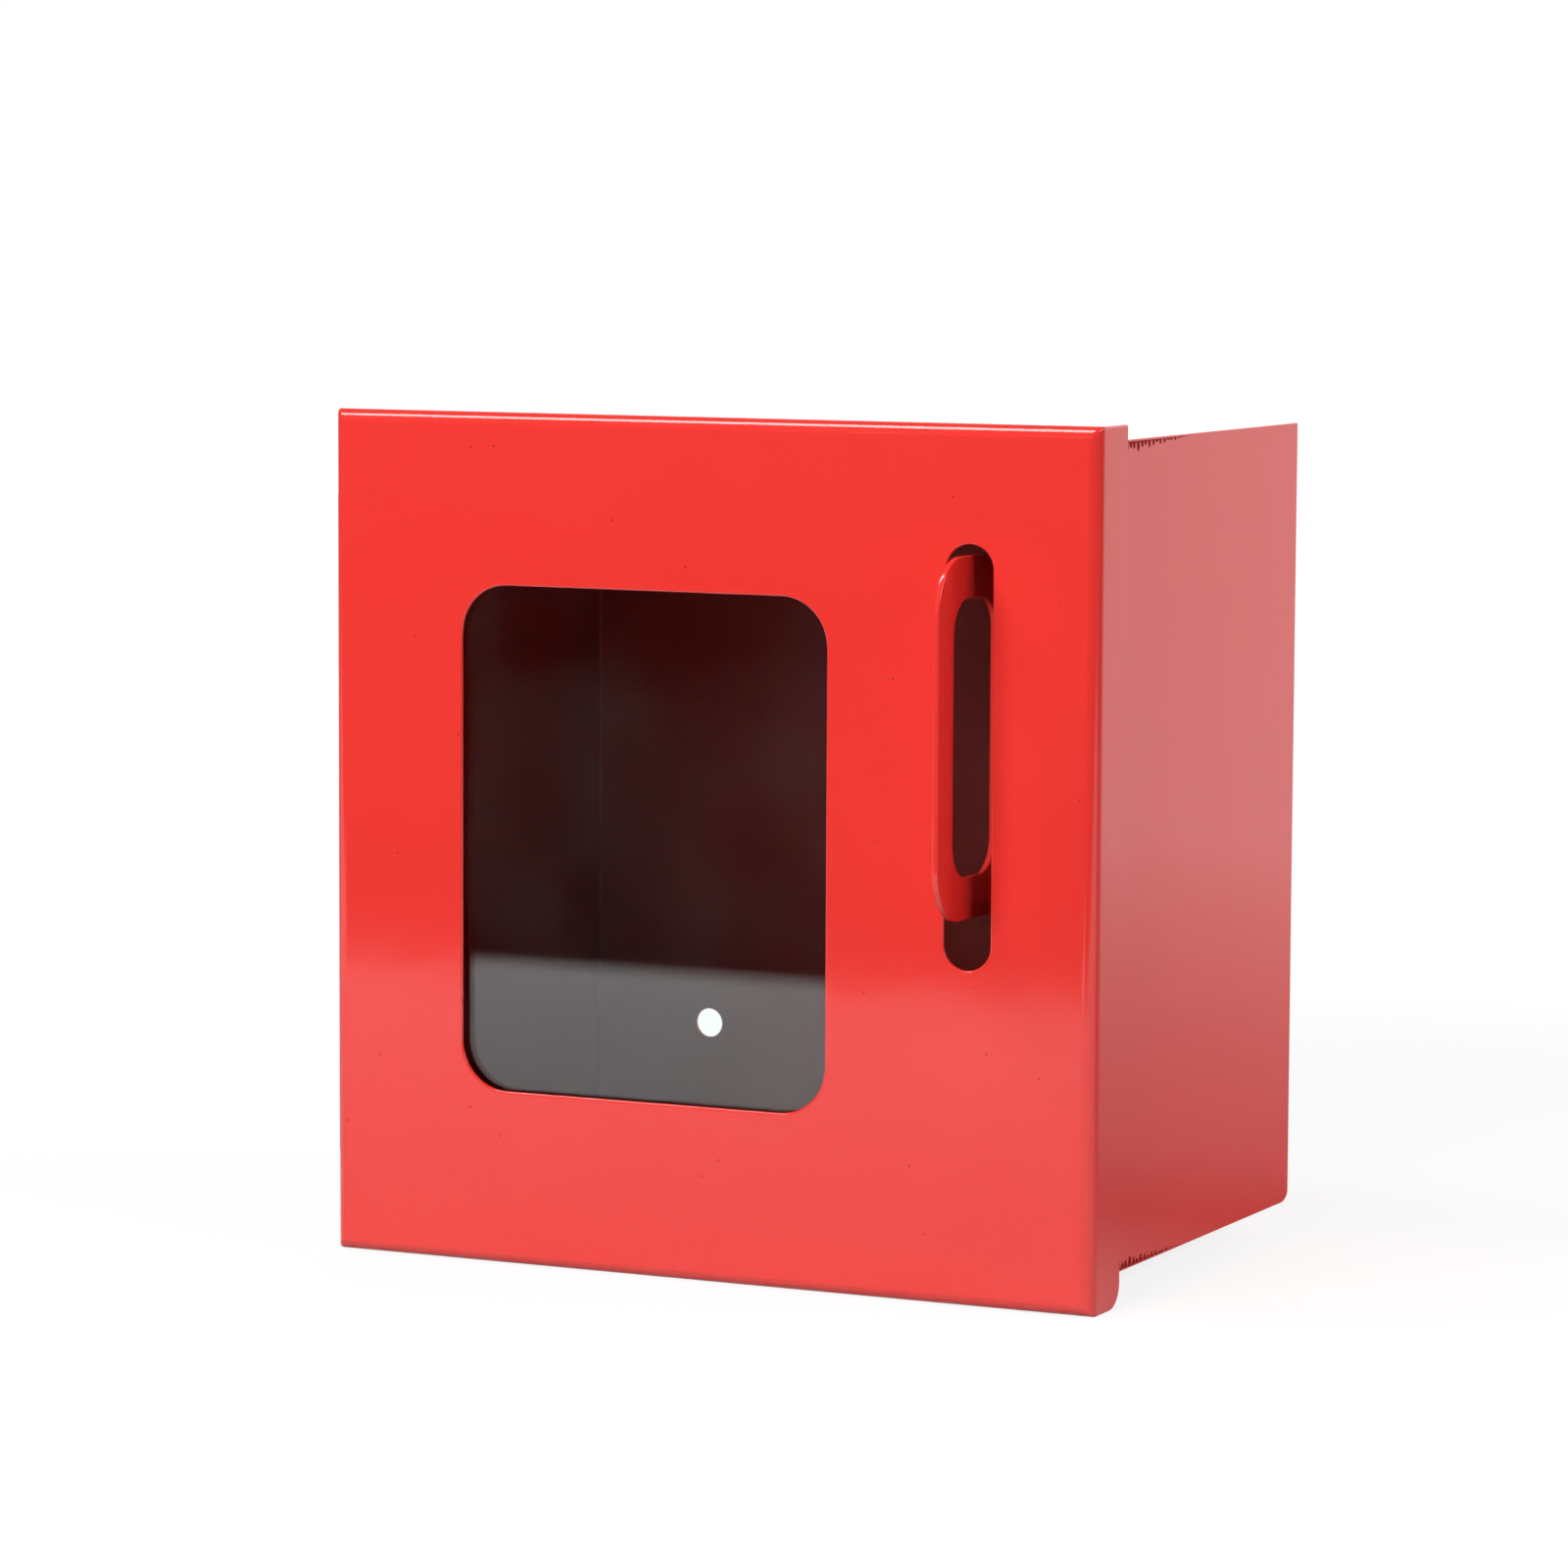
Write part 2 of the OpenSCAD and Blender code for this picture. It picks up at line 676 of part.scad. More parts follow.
// A short strip with round ends that hangs down over the glass, with a finger tab
module pane_clip(x) {
    tip_z = clip_z - clip_len;
    tab_z = tip_z - sqrt(pow(clip_w / 2, 2) - pow(clip_tab_w / 2, 2));
    color(ZINC) difference() {
        union() {
            bar_y(x, clip_z, clip_w / 2, hold_y, hold_y + clip_t);
            bar_y(x, tip_z, clip_w / 2, hold_y, hold_y + clip_t);
            translate([x - clip_w / 2, hold_y, tip_z]) cube([clip_w, clip_t, clip_len]);
            translate([x - clip_tab_w / 2, hold_y, tab_z])
                cube([clip_tab_w, clip_t + clip_tab_h, clip_t]);
        }
        bar_y(x, clip_z, stud_d / 2 + pin_fit, hold_y - cut, hold_y + clip_t + cut);
    }
}

module pane_clip_left() {
    pane_clip(clip_x[0]);
}

module pane_clip_right() {
    pane_clip(clip_x[1]);
}

cabinet_shell();
cabinet_corner_welds();
padlock_staple();
hinge_cabinet_leaf();
hinge_pin();
cabinet_leaf_rivets();
hook_rail();
key_hooks();
hook_rail_rivets();
door_bumpers();
door_panel();
door_corner_welds();
hinge_door_leaf();
door_leaf_rivets();
window_pane();
pane_gasket();
pane_ledge();
pane_guide_left();
pane_guide_right();
clip_studs();
clip_washers();
clip_nuts();
pane_clip_left();
pane_clip_right();
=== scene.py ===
# %% [markdown]
# # A break glass key box
# The object is a small steel cabinet for the wall. A key hangs inside, a folded door
# with a thin glass covers it, and a padlock through the staple keeps the door shut.
# In an emergency the glass is broken.
#
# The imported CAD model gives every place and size. This lesson loads it as a fixed
# frame and dresses it: bent sheet gets its eased edges and its gloss coat, and the
# small parts (threads, rivets, beads, hooks, glass) are worked out as surfaces.

import bmesh
import bpy
import numpy as np
from mathutils import Matrix, Vector


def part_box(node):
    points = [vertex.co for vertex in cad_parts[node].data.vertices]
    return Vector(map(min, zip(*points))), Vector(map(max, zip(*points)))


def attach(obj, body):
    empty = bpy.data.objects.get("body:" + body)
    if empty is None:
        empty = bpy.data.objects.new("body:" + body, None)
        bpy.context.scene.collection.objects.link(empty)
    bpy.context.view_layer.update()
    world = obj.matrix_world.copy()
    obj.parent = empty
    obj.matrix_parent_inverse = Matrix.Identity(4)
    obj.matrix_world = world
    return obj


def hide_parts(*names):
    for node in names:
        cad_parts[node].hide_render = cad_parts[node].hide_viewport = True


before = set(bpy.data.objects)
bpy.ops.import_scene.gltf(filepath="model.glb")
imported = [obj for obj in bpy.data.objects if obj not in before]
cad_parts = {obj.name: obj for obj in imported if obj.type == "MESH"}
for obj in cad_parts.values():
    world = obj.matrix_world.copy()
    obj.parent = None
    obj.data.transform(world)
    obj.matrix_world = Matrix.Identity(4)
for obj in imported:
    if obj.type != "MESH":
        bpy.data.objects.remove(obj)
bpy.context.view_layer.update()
MM = 0.001

# %% [markdown]
# ## Colours and nodes
# Colours are picked as sRGB hex values, the way a paint chart gives them, but Blender
# mixes light in linear numbers, so one function turns the one into the other. A second
# small function adds any shader node with its settings and links, which keeps each
# material short enough to read as a recipe.

# %% Two helpers for every material
def colour(code):
    """Linear RGBA of an sRGB hex code: c / 12.92 below 0.04045, else
    ((c + 0.055) / 1.055) ** 2.4."""
    c = np.array([int(code[i : i + 2], 16) for i in (0, 2, 4)]) / 255
    linear = np.where(c <= 0.04045, c / 12.92, ((c + 0.055) / 1.055) ** 2.4)
    return (*(float(v) for v in linear), 1.0)


def add(tree, kind, inputs=None, **settings):
    """Adds one node. settings are its own properties, and inputs fill its sockets by
    name or number, with a value or with another node's output."""
    made = tree.nodes.new("ShaderNode" + kind)
    for name, value in settings.items():
        setattr(made, name, value)
    for key, value in (inputs or {}).items():
        if isinstance(value, bpy.types.NodeSocket):
            tree.links.new(value, made.inputs[key])
        else:
            made.inputs[key].default_value = value
    return made


def new_material(name):
    """An empty node material: (material, its tree, its output node, Object coordinates)."""
    made = bpy.data.materials.new(name)
    made.use_nodes = True
    tree = made.node_tree
    tree.nodes.clear()
    out = add(tree, "OutputMaterial")
    return made, tree, out, add(tree, "TexCoord").outputs["Object"]


# %% [markdown]
# ## Gloss red powder coat
# The sheet is sprayed with charged polyester powder and baked. The melt flows almost
# flat, so the coat is glossy, but it keeps a faint orange peel: waves 2 to 3 mm long
# and a few thousandths of a millimetre high, which make every reflection swim a
# little. The sheet under it bows by less than a tenth of a millimetre every 2 or 3 cm,
# which bends the edges of wide reflections. Grains of dust leave sparse specks. The
# pigment is even, so the colour moves by a few per cent only, in clouds 35 mm wide.
# Inside the box and over welds the same coat lies thinner or rougher, so the function
# takes the colours, the orange peel and the gloss. There the colours are also darker:
# painted shade of the closed box and of the pits between weld ripples.

# %% The powder coat
CLOUD_MM, DUST_MM, PEEL_MM, BOW_MM = 35, 9, 2.4, 24


def gloss_red_powder_coat(name, base, cloud, peel_um, roughness, bow_um=0, shine=0.5):
    """Polyester powder coat: base and cloud colours, height of the orange peel in
    thousandths of a millimetre, roughness of the gloss, how far the sheet bows, and how
    much the surface mirrors (0.5 is a closed film)."""
    made, tree, out, place = new_material(name)
    clouds = add(tree, "TexNoise", {"Vector": place, "Scale": 1 / (CLOUD_MM * MM),
                                    "Detail": 2.0})
    pigment = add(tree, "Mix", {0: clouds.outputs["Fac"], 6: colour(base), 7: colour(cloud)},
                  data_type="RGBA")
    # of the grains, one to each 9 mm cell, the surface cuts only a few
    grains = add(tree, "TexVoronoi", {"Vector": place, "Scale": 1 / (DUST_MM * MM)})
    speck = add(tree, "MapRange", {0: grains.outputs["Distance"], 1: 0.02, 2: 0.04,
                                   3: 1.0, 4: 0.0}, interpolation_type="SMOOTHSTEP")
    tinted = add(tree, "Mix", {0: speck.outputs[0], 6: pigment.outputs[2],
                               7: colour("a3211e")}, data_type="RGBA")
    peel = add(tree, "TexNoise", {"Vector": place, "Scale": 1 / (PEEL_MM * MM),
                                  "Detail": 1.0})
    # thin sheet is never quite flat: it bows in and out every 2 or 3 cm
    bows = add(tree, "TexNoise", {"Vector": place, "Scale": 1 / (BOW_MM * MM),
                                  "Detail": 1.0})
    sheet = add(tree, "Bump", {"Strength": 1.0, "Distance": bow_um * MM / 1000,
                               "Height": bows.outputs["Fac"]})
    waves = add(tree, "Bump", {"Strength": 1.0, "Distance": peel_um * MM / 1000,
                               "Height": peel.outputs["Fac"], "Normal": sheet.outputs[0]})
    nibs = add(tree, "Bump", {"Strength": 0.6, "Distance": 0.05 * MM,
                              "Height": speck.outputs[0], "Normal": waves.outputs[0]})
    gloss = add(tree, "MapRange", {0: clouds.outputs["Fac"], 1: 0.3, 2: 0.7,
                                   3: roughness * 0.85, 4: roughness * 1.15})
    coat = add(tree, "BsdfPrincipled", {"Base Color": tinted.outputs[2], "IOR": 1.5,
                                        "Roughness": gloss.outputs[0],
                                        "Specular IOR Level": shine,
                                        "Normal": nibs.outputs[0]})
    tree.links.new(coat.outputs[0], out.inputs[0])
    return made


RED_COAT = gloss_red_powder_coat("gloss_red_polyester_powder_coat",
                                 "ec3933", "e8352f", 6, 0.09, 90)
# charged powder doesn't fly into a deep box, so the coat inside is thin and dull; its darker
# colour is painted shade of the closed box
SHADED_THIN_COAT = gloss_red_powder_coat("thin_red_coat_with_painted_shade_inside",
                                  "cd3a34", "bc322d", 25, 0.4)
# over a weld the powder bridges the ripples, so it is duller; its darker colour is painted
# shade of the pits between the ripples
SEAM_SHADE_COAT = gloss_red_powder_coat("seam_coat_with_painted_shade",
                                  "ab2320", "8c1918", 60, 0.7, shine=0.1)
print("coats:", RED_COAT.name, SHADED_THIN_COAT.name, SEAM_SHADE_COAT.name)

# %% [markdown]
# ## Bright zinc plating
# Rivets, hooks, studs, nuts and clips are steel with 5 to 10 thousandths of a
# millimetre of electroplated zinc, dipped in a clear passivate. The eye sees a cool
# grey metal with soft patches of blue and straw where the passivate is thicker, and
# the fine grain of the barrel the parts were tumbled in.

# %% Zinc
def bright_zinc_plated_steel():
    """Metal: two tints in patches 5 mm wide, grain 0.4 mm wide in roughness and bump."""
    made, tree, out, place = new_material("bright_zinc_plated_steel")
    patches = add(tree, "TexNoise", {"Vector": place, "Scale": 1 / (5 * MM), "Detail": 3.0})
    tint = add(tree, "ValToRGB", {0: patches.outputs["Fac"]})
    stops = tint.color_ramp.elements
    stops[0].position, stops[0].color = 0.32, colour("bcc6cf")
    stops[1].position, stops[1].color = 0.68, colour("d3cdb9")
    stops.new(0.5).color = colour("cfd2d3")
    # the tumbling marks are nearer 0.05 mm; at 0.4 mm they show in the render
    grain = add(tree, "TexNoise", {"Vector": place, "Scale": 1 / (0.4 * MM), "Detail": 2.0})
    dull = add(tree, "MapRange", {0: grain.outputs["Fac"], 1: 0.3, 2: 0.7, 3: 0.24, 4: 0.4})
    marks = add(tree, "Bump", {"Strength": 0.5, "Distance": 0.01 * MM,
                               "Height": grain.outputs["Fac"]})
    steel = add(tree, "BsdfPrincipled", {"Base Color": tint.outputs[0], "Metallic": 1.0,
                                         "Roughness": dull.outputs[0],
                                         "Normal": marks.outputs[0]})
    tree.links.new(steel.outputs[0], out.inputs[0])
    return made


ZINC = bright_zinc_plated_steel()

# %% [markdown]
# ## Clear float glass
# The pane is plain annealed glass 2 mm thick, because it must break. It is made by
# floating the melt on tin, so both faces are flat and clear and the body is faintly
# green. What the eye gets is what it mirrors, and a faint film left from fitting it.
# A shadow ray that meets glass stops there and would leave the cabinet black, so
# shadow rays see a Transparent shader instead. Its grey is darker than real glass and
# was matched to the dark inside that shows behind a real pane.

# %% Glass
def clear_float_glass():
    """Glass of index 1.52. Where it has a film, in clouds 25 mm wide, up to half a per
    cent of the light scatters on it instead of going through."""
    made, tree, out, place = new_material("clear_float_glass")
    smears = add(tree, "TexNoise", {"Vector": place, "Scale": 1 / (25 * MM), "Detail": 3.0})
    clear = add(tree, "MapRange", {0: smears.outputs["Fac"], 1: 0.4, 2: 0.7,
                                   3: 1.0, 4: 0.995})
    glass = add(tree, "BsdfPrincipled", {"Base Color": colour("f2faf7"), "IOR": 1.52,
                                         "Roughness": 0.0,
                                         "Transmission Weight": clear.outputs[0]})
    passed = add(tree, "BsdfTransparent", {"Color": colour("8a8f8d")})
    path = add(tree, "LightPath")
    both = add(tree, "MixShader", {0: path.outputs["Is Shadow Ray"], 1: glass.outputs[0],
                                   2: passed.outputs[0]})
    tree.links.new(both.outputs[0], out.inputs[0])
    return made


GLASS = clear_float_glass()

# %% [markdown]
# ## Matt rubber and nylon
# The gasket is cut from EPDM sheet and the bumpers are moulded. Carbon black fills
# the rubber, so it is near black and scatters what little it reflects. The lock nuts
# hold a ring of natural nylon, milky and half matt.

# %% Rubber and nylon
def moulded_polymer(name, base, worn, roughness, grain_mm):
    """A matt polymer: two close colours mixed by a grain that also bumps the surface."""
    made, tree, out, place = new_material(name)
    grain = add(tree, "TexNoise", {"Vector": place, "Scale": 1 / (grain_mm * MM),
                                   "Detail": 3.0})
    tone = add(tree, "Mix", {0: grain.outputs["Fac"], 6: colour(base), 7: colour(worn)},
               data_type="RGBA")
    skin = add(tree, "Bump", {"Strength": 0.4, "Distance": 0.03 * MM,
                              "Height": grain.outputs["Fac"]})
    body = add(tree, "BsdfPrincipled", {"Base Color": tone.outputs[2], "IOR": 1.5,
                                        "Roughness": roughness,
                                        "Normal": skin.outputs[0]})
    tree.links.new(body.outputs[0], out.inputs[0])
    return made


RUBBER = moulded_polymer("matt_black_epdm_rubber", "1d1d1f", "2b2a2b", 0.72, 0.7)
NYLON = moulded_polymer("natural_nylon", "e4e0d0", "d6d1bf", 0.45, 0.9)
print("zinc, glass, polymers:", ZINC.name, GLASS.name, RUBBER.name, NYLON.name)

# %% [markdown]
# ## Sheet that is folded and cut
# A laser or a punch leaves a square edge, and the powder draws back from it and
# rounds it, by 0.15 mm on small parts and about half a millimetre on the door. That
# thin round is what catches the light along the window, the slot and the flanges. The
# CAD solids have the right folds and holes but knife edges. So each is copied, its
# loose triangles are merged, the flat ones are joined into whole faces, and a Bevel
# modifier eases the edges.
# On the two pans, the faces that look at the middle of the box get the thin coat, whose
# darker colour is painted shade.

# %% Ease the edges of a CAD sheet
BOX_MIDDLE, SHEET_BACK_Y = Vector((0, -66 * MM, 0)), -134 * MM


def takes_inside_shade(face):
    """normal . (middle of the box - middle of the face) > 0, but not on the cut edges
    of the door's front, which lie before SHEET_BACK_Y."""
    spot = face.calc_center_median()
    return face.normal.dot(BOX_MIDDLE - spot) > 0 and spot.y > SHEET_BACK_Y


def eased_sheet(node, body, material, round_mm, inside=None):
    """A copy of a CAD node whose edges over 30 degrees are rounded by round_mm, with
    another material, darker as painted shade, for the faces that look inside."""
    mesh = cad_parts[node].data.copy()
    mesh.name = node + "_sheet"
    mesh.materials.clear()
    for coat in (material, inside) if inside else (material,):
        mesh.materials.append(coat)
    shape = bmesh.new()
    shape.from_mesh(mesh)
    bmesh.ops.remove_doubles(shape, verts=shape.verts, dist=0.001 * MM)
    bmesh.ops.dissolve_limit(shape, angle_limit=np.radians(0.3), verts=shape.verts,
                             edges=shape.edges)
    for face in shape.faces:
        face.material_index = int(bool(inside) and takes_inside_shade(face))
    shape.to_mesh(mesh)
    shape.free()
    mesh.shade_smooth()
    made = bpy.data.objects.new(node + "_sheet", mesh)
    bpy.context.scene.collection.objects.link(made)
    ease = made.modifiers.new("eased_edges", "BEVEL")
    ease.width, ease.segments = round_mm * MM, 2
    ease.limit_method, ease.angle_limit = "ANGLE", np.radians(30)
    ease.use_clamp_overlap = False
    # large faces keep their own normal, so that a flat stays flat up to its bend
    made.modifiers.new("flat_faces", "WEIGHTED_NORMAL").weight = 100
    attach(made, body)
    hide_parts(node)
    print(f"{made.name}: {len(mesh.vertices)} corners, {len(mesh.polygons)} faces")


for node, body, round_mm in (("cabinet_shell", "cabinet", 0.25),
                             ("door_panel", "door", 0.55)):
    eased_sheet(node, body, RED_COAT, round_mm, SHADED_THIN_COAT)
for node, body, round_mm in (
    ("padlock_staple", "cabinet", 0.4), ("hook_rail", "cabinet", 0.2),
    ("hinge_cabinet_leaf", "cabinet", 0.15), ("hinge_door_leaf", "door", 0.15),
    ("pane_ledge", "door", 0.15), ("pane_guide_left", "door", 0.15),
    ("pane_guide_right", "door", 0.15),
):
    eased_sheet(node, body, RED_COAT, round_mm)
eased_sheet("pane_clip_left", "left_clip", ZINC, 0.15)
eased_sheet("pane_clip_right", "right_clip", ZINC, 0.15)

# %% [markdown]
# ## Surfaces from rings
# All the other parts are turned, drawn, rolled or run on, so each is a stack of
# rings: a closed outline carried along an axis or a path. One function turns such
# stacks into a mesh. Rings that shrink to a point are merged into a pole, a stack
# that ends in an open ring is closed by one face, and the normals are made to point
# outwards at the end.

# %% Rings into a mesh
def ring_piece(name, stacks, body, material, node=None, hollow=False, sharp=35):
    """stacks: arrays of shape (rings, points, 3) in mm. Quad i, j joins the points j
    and j + 1 of the rings i and i + 1. With hollow the last ring joins the first."""
    corners, faces, first = [], [], 0
    for rings in stacks:
        n, m = rings.shape[:2]
        index = first + np.arange(n * m).reshape(n, m)
        low = index if hollow else index[:-1]
        high = np.roll(index, -1, 0) if hollow else index[1:]
        quads = np.stack([low, np.roll(low, -1, 1), np.roll(high, -1, 1), high], -1)
        faces += quads.reshape(-1, 4).tolist()
        if not hollow:
            faces += [index[0, ::-1].tolist(), index[-1].tolist()]
        corners.append(rings.reshape(-1, 3))
        first += n * m
    mesh = bpy.data.meshes.new(name)
    mesh.from_pydata(np.concatenate(corners) * MM, [], faces)
    shape = bmesh.new()
    shape.from_mesh(mesh)
    bmesh.ops.remove_doubles(shape, verts=shape.verts, dist=0.0005 * MM)
    bmesh.ops.recalc_face_normals(shape, faces=shape.faces)
    shape.to_mesh(mesh)
    shape.free()
    mesh.materials.append(material)
    mesh.shade_smooth()
    mesh.set_sharp_from_angle(angle=np.radians(sharp))
    made = bpy.data.objects.new(name, mesh)
    bpy.context.scene.collection.objects.link(made)
    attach(made, body)
    if node:
        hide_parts(node)
        spots = np.concatenate(corners)
        off = np.abs([spots.min(0), spots.max(0)] - np.array(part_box(node)) / MM).max()
        print(f"{name}: {len(mesh.polygons)} faces, {off:.2f} mm from the CAD box")


def turned(profile, centre, axis, points=48):
    """A turned part: at the height h along the axis each ring is
    centre + h axis + r (cos a side + sin a up), with profile rows (r, h) in mm."""
    r, h = np.asarray(profile, float).T
    axis = np.asarray(axis, float)
    side = np.roll(axis, 1)
    up = np.cross(axis, side)
    a = np.linspace(0, 2 * np.pi, points, endpoint=False)
    circle = np.cos(a)[:, None] * side + np.sin(a)[:, None] * up
    return np.asarray(centre) + h[:, None, None] * axis + r[:, None, None] * circle


def arc(r0, h0, radius, start, end, steps=6):
    """Profile rows on a circle round (r0, h0), from start to end in degrees."""
    a = np.radians(np.linspace(start, end, steps))
    return np.stack([r0 + radius * np.cos(a), h0 + radius * np.sin(a)], -1)


# %% [markdown]
# ## Blind rivets
# Each hinge leaf is held by four blind rivets. A mandrel is pulled through a hollow
# rivet until it swells the far end and snaps, so the domed head has a small pit with
# the broken mandrel in it, and the closed end inside the cabinet is a round bulb. Two
# more rivets hold the hook rail and end flush with the back, so that it lies flat.
# Each rivet is a profile turned about its axis.

# %% Rivets
HEAD_R, HEAD_H, SHANK_R, TAIL_R = 3.0, 1.1, 1.5, 2.4
PIT_R, PIT_DEEP = 0.85, 0.3
RIVET_Z = np.linspace(-68.5, 68.5, 4)
GRIP, CABINET_TAIL, DOOR_TAIL, FLUSH = 2.4, 1.4, 0.8, 0
# where the heads sit: X and Y on the two leaves, Y and Z and the two X on the rail
CABINET_LEAF, DOOR_LEAF = (-98.7, -103.7), (-101.2, -124.1)
RAIL, RAIL_X = (-2.4, 72.6), (-44, 44)
RIM_LIFT = 4  # degrees by which the dome starts above its rim


def rivet_profile(grip, tail_h):
    """Rows (r, h) from the closed end to the head, whose underside is at h = 0. The
    bulb is R sqrt(1 - (0.8 t) ** 4) for t from -1 to 1. The dome is an arc through the
    rim and the top, and the pit is cut into its middle."""
    dome = (HEAD_R**2 + HEAD_H**2) / (2 * HEAD_H)
    rim = np.degrees(np.arctan2(dome - HEAD_H, HEAD_R))
    lip = np.degrees(np.arccos((PIT_R + 0.15) / dome))
    if tail_h:
        t = np.linspace(-1, 1, 10)
        bulb = np.stack([TAIL_R * np.sqrt(1 - (0.8 * t) ** 4),
                         -grip - tail_h * (1 - t) / 2], -1)
        tail = np.concatenate([[(0, -grip - tail_h)], bulb, [(SHANK_R, -grip)]])
    else:
        tail = [(0, -grip), (SHANK_R - 0.1, -grip), (SHANK_R, -grip + 0.1)]
    head = arc(0, HEAD_H - dome, dome, rim + RIM_LIFT, lip, 10)
    return np.concatenate([tail, [(SHANK_R, 0), (HEAD_R - 0.1, 0), (HEAD_R, 0.08)], head,
                           [(PIT_R, HEAD_H - 0.1), (PIT_R - 0.1, HEAD_H - PIT_DEEP),
                            (0, HEAD_H - PIT_DEEP + 0.05)]])


cabinet_rivets = [turned(rivet_profile(GRIP, CABINET_TAIL), (*CABINET_LEAF, z), (-1, 0, 0))
                  for z in RIVET_Z]
door_rivets = [turned(rivet_profile(GRIP, DOOR_TAIL), (*DOOR_LEAF, z), (-1, 0, 0))
               for z in RIVET_Z]
rail_rivets = [turned(rivet_profile(GRIP, FLUSH), (x, *RAIL), (0, -1, 0)) for x in RAIL_X]
for name, stacks, body in (("cabinet_leaf_rivets", cabinet_rivets, "cabinet"),
                           ("door_leaf_rivets", door_rivets, "door"),
                           ("hook_rail_rivets", rail_rivets, "cabinet")):
    ring_piece(name + "_turned", stacks, body, ZINC, name)

# %% [markdown]
# ## Hinge pin
# The pin is a drawn wire, pushed through the knuckles and peened at both ends, which
# swells the ends into low buttons. A turned profile from one button to the other.

# %% Hinge pin
PIN_R, BUTTON_R, BUTTON_H, PIN_END = 1.5, 2.2, 0.9, 80.3
PIN_SPOT, BUTTON_ROUND = (-100.6, -114.4, 0), 0.45
button = arc(BUTTON_R - BUTTON_ROUND, BUTTON_H - BUTTON_ROUND, BUTTON_ROUND, 0, 90)
upper = np.concatenate([[(PIN_R, 0), (BUTTON_R, 0)], button, [(0, BUTTON_H)]])
upper = upper + (0, PIN_END)
pin = turned(np.concatenate([upper[::-1] * (1, -1), upper]), PIN_SPOT, (0, 0, 1))
ring_piece("hinge_pin_wire", [pin], "cabinet", ZINC, "hinge_pin")

# %% [markdown]
# ## Studs, washers and lock nuts
# The two turn clips that hold the glass pivot on M4 studs, projection welded to the
# door. A thread is a radius that falls and rises as it goes round: the helix puts the
# height and the angle into one phase. A hexagon nut is a hexagon of radius
# f / cos(angle from the flat's middle), cut by the chamfer's cone, so the smaller of
# the two radii is taken at each point, and the curved corners of a real nut appear.

# %% Thread and nut
CLIP_X, CLIP_Z = (-50.4, 17.6), 74.7
SHOULDER_Y, REST_Y, STUD_END_Y = -133.8, -130.55, -124.25
NUT_Y, NUT_H, NUT_FLAT = -128.45, 3.2, 3.5
WASHER_Y, WASHER_H = -129.25, 0.8
STUD_R, PITCH, THREAD_DEEP = 2.0, 0.7, 0.38


def threaded_stud(x, points=48):
    """A shoulder, then a thread of radius R - deep |2 frac(h / pitch - a / 2 pi) - 1|,
    faded in over half a turn and chamfered at its end."""
    high = REST_Y - SHOULDER_Y
    shoulder = [(0, 0), (4, 0), (4, high - 0.25), (3.92, high - 0.08), (3.75, high)]
    base = turned(shoulder, (x, SHOULDER_Y, CLIP_Z), (0, 1, 0), points)
    h = np.arange(0, STUD_END_Y - REST_Y + 0.001, PITCH / 10)[:, None]
    a = np.linspace(0, 2 * np.pi, points, endpoint=False)[None]
    wave = np.abs(2 * ((h / PITCH - a / (2 * np.pi)) % 1) - 1)
    fade = np.clip(h / (PITCH / 2), 0, 1)
    chamfer = 1.5 + (h[-1] - h)
    r = np.minimum(STUD_R - THREAD_DEEP * wave * fade, chamfer)
    rod = np.stack([x + r * np.sin(a), REST_Y + h + 0 * a, CLIP_Z + r * np.cos(a)], -1)
    return np.concatenate([base, rod])


def lock_nut(x, points=96):
    """Each row (r, h) of the section becomes min(r, f / cos(b)), where b is the angle
    from the nearest flat's middle: the chamfer's cone and the hexagon cut each other."""
    cone = np.stack([np.linspace(3.4, 4.1, 8), np.linspace(0, 0.45, 8)], -1)
    rows = np.concatenate([[(2.1, 0.25), (2.35, 0)], cone, [(4.1, 1.95)],
                           cone[::-1] * (1, -1) + (0, 2.4), [(3.15, 2.45), (3.15, 2.8)],
                           arc(2.8, 2.85, 0.35, 0, 90), [(2.75, 3.1), (2.72, 2.6),
                                                         (2.1, 2.55)]])
    rings = turned(rows, (0, 0, 0), (0, 1, 0), points)
    a = np.linspace(0, 360, points, endpoint=False)
    hexagon = NUT_FLAT / np.cos(np.radians((a + 30) % 60 - 30))
    scale = np.minimum(rows[:, :1], hexagon) / rows[:, :1]
    return rings * np.stack([scale, 0 * scale + 1, scale], -1) + (x, NUT_Y, CLIP_Z)


NYLON_ROWS = [(2.02, 2.6), (2.7, 2.6), (2.7, 3.0), (2.6, 3.08), (2.15, 3.08), (2.02, 2.95)]
WASHER_ROWS = np.concatenate([[(2.1, 0), (4.38, 0), (4.5, 0.12)],
                              arc(4.3, WASHER_H - 0.2, 0.2, 0, 90),
                              [(2.25, WASHER_H), (2.1, WASHER_H - 0.12)]])
ring_piece("clip_studs_threaded", [threaded_stud(x) for x in CLIP_X], "door", ZINC,
           "clip_studs")
ring_piece("clip_nuts_chamfered", [lock_nut(x) for x in CLIP_X], "door", ZINC,
           "clip_nuts", hollow=True)
ring_piece("clip_washers_stamped",
           [turned(WASHER_ROWS, (x, WASHER_Y, CLIP_Z), (0, 1, 0)) for x in CLIP_X], "door",
           ZINC, "clip_washers", hollow=True)
ring_piece("nut_nylon_rings",
           [turned(NYLON_ROWS, (x, NUT_Y, CLIP_Z), (0, 1, 0)) for x in CLIP_X], "door",
           NYLON, hollow=True)

